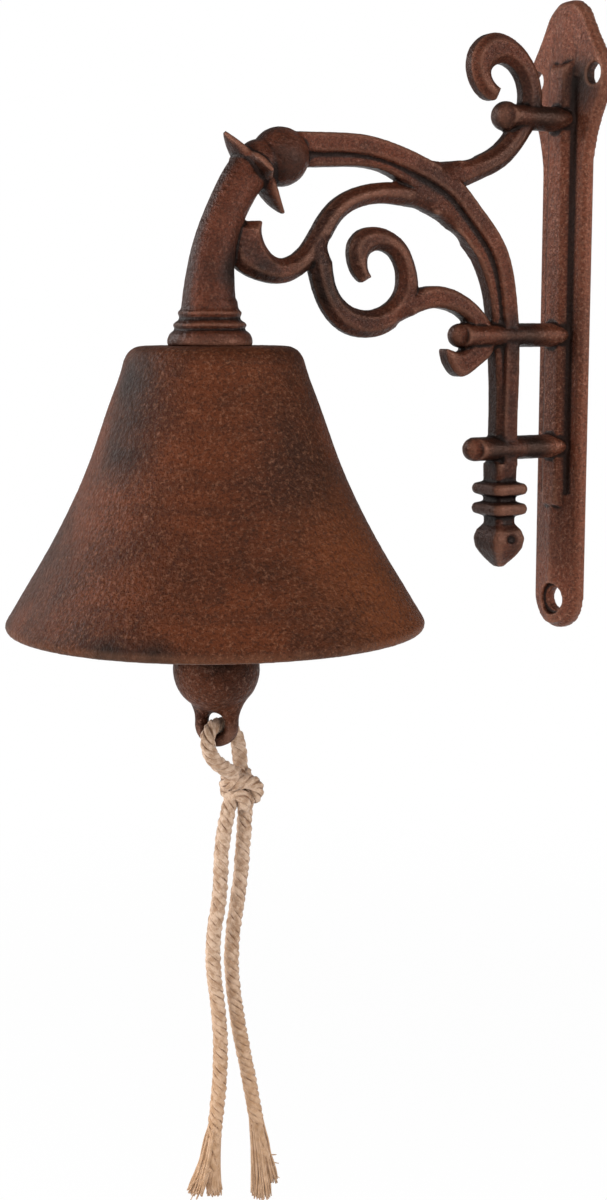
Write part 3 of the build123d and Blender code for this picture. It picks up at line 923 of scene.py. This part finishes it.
def fade_with_distance(tree):
    """FLOOR_WHITE near the object, rising to plain white far from it."""
    place = tree.nodes.new("ShaderNodeTexCoord")
    length = tree.nodes.new("ShaderNodeVectorMath")
    length.operation = "LENGTH"
    tree.links.new(place.outputs["Object"], length.inputs[0])
    fade = tree.nodes.new("ShaderNodeMapRange")
    fade.interpolation_type = "SMOOTHSTEP"
    for key, value in (
        ("From Min", FLOOR_FADE[0]), ("From Max", FLOOR_FADE[1]),
        ("To Min", FLOOR_WHITE), ("To Max", 1.0),
    ):
        fade.inputs[key].default_value = value
    tree.links.new(length.outputs["Value"], fade.inputs["Value"])
    return fade.outputs["Result"]


def make_stage():
    mesh = bpy.data.meshes.new("floor")
    half = FLOOR_HALF
    corners = [(-half, -half, 0), (half, -half, 0), (half, half, 0), (-half, half, 0)]
    mesh.from_pydata(corners, [], [(0, 1, 2, 3)])
    floor = add_object("floor", mesh)
    floor.location = (-0.1, 0, FLOOR_Z)
    material = bpy.data.materials.new("floor")
    material.use_nodes = True
    tree = material.node_tree
    shader = tree.nodes["Principled BSDF"]
    shader.inputs["Base Color"].default_value = (0.96, 0.96, 0.96, 1)
    shader.inputs["Roughness"].default_value = 0.9
    out = tree.nodes["Material Output"]
    surface = white_to_camera(tree, shader.outputs[0], fade_with_distance(tree))
    tree.links.new(surface, out.inputs["Surface"])
    mesh.materials.append(material)


def make_world():
    world = bpy.data.worlds.new("studio")
    scene.world = world
    world.use_nodes = True
    tree = world.node_tree
    soft = tree.nodes["Background"]
    soft.inputs["Color"].default_value = (1, 1, 1, 1)
    soft.inputs["Strength"].default_value = WORLD_LEVEL
    white = tree.nodes.new("ShaderNodeBackground")
    white.inputs["Color"].default_value = (1, 1, 1, 1)
    path = tree.nodes.new("ShaderNodeLightPath")
    mix = tree.nodes.new("ShaderNodeMixShader")
    tree.links.new(path.outputs["Is Camera Ray"], mix.inputs[0])
    tree.links.new(soft.outputs[0], mix.inputs[1])
    tree.links.new(white.outputs[0], mix.inputs[2])
    tree.links.new(mix.outputs[0], tree.nodes["World Output"].inputs["Surface"])


def area_light(name, place, size, power):
    data = bpy.data.lights.new(name, "AREA")
    data.shape = "DISK"
    data.size = size
    data.energy = power
    lamp = bpy.data.objects.new(name, data)
    lamp.location = place
    look = Vector(AIM) - Vector(place)
    lamp.rotation_euler = look.to_track_quat("-Z", "Y").to_euler()
    scene.collection.objects.link(lamp)


make_camera()
COTTON = cotton_material()
IRON_BELL = iron_material(
    "bell_iron", BELL_TINT, streaks=0.5, dust_and_sheen=0.36, stains_and_shade=BELL_STAINS_AND_SHADE, painted_light=BELL_PAINTED_LIGHT,
)
IRON_BRACKET = iron_material(
    "bracket_iron", BRACKET_TINT, dust_and_sheen=0.55, grain_depth=0.8, gloss=0.14,
    rough=(0.3, 0.5), stains_and_shade=BRACKET_STAINS_AND_SHADE, plate_from=PLATE_FROM,
)
IRON_CLAPPER = iron_material(
    "clapper_iron", CLAPPER_TINT, dust_and_sheen=0.4, stains_and_shade=CLAPPER_STAINS_AND_SHADE,
)
STEEL = steel_material()

knot = rope_knot()
left_fray = fray("fray_left", LEFT_ROUTE, LEFT_TUFTS, 11, LEFT_STRAYS)
right_fray = fray("fray_right", RIGHT_ROUTE, RIGHT_TUFTS, 23, RIGHT_STRAYS)
rope_piece(
    "rope_loop_plies", LOOP_ROUTE, "rope_loop", 0.4
)
rope_piece(
    "rope_left_plies", LEFT_ROUTE, "rope_tail_left", 1.1,
    open_end=OPEN_LENGTH,
)
rope_piece(
    "rope_right_plies", RIGHT_ROUTE, "rope_tail_right", 2.6,
    open_end=OPEN_LENGTH,
)

casting(
    "bracket_casting", "bracket", "bracket_body", IRON_BRACKET,
    BRACKET_VOXEL, GRAIN_HEIGHT, BRACKET_SOFT, BRACKET_WEBS, finial_swollen,
)
casting(
    "bell_casting", "bell", "bracket_body", IRON_BELL,
    BELL_VOXEL, BELL_GRAIN_HEIGHT,
)
casting(
    "clapper_casting", "clapper", "clapper_body", IRON_CLAPPER,
    CLAPPER_VOXEL, GRAIN_HEIGHT, CLAPPER_SOFT,
)
for steel_node in ("eye_bolt", "crown_nut", "hanger_link"):
    dress(steel_node, STEEL)

make_stage()
make_world()
for light in LIGHTS:
    area_light(*light)
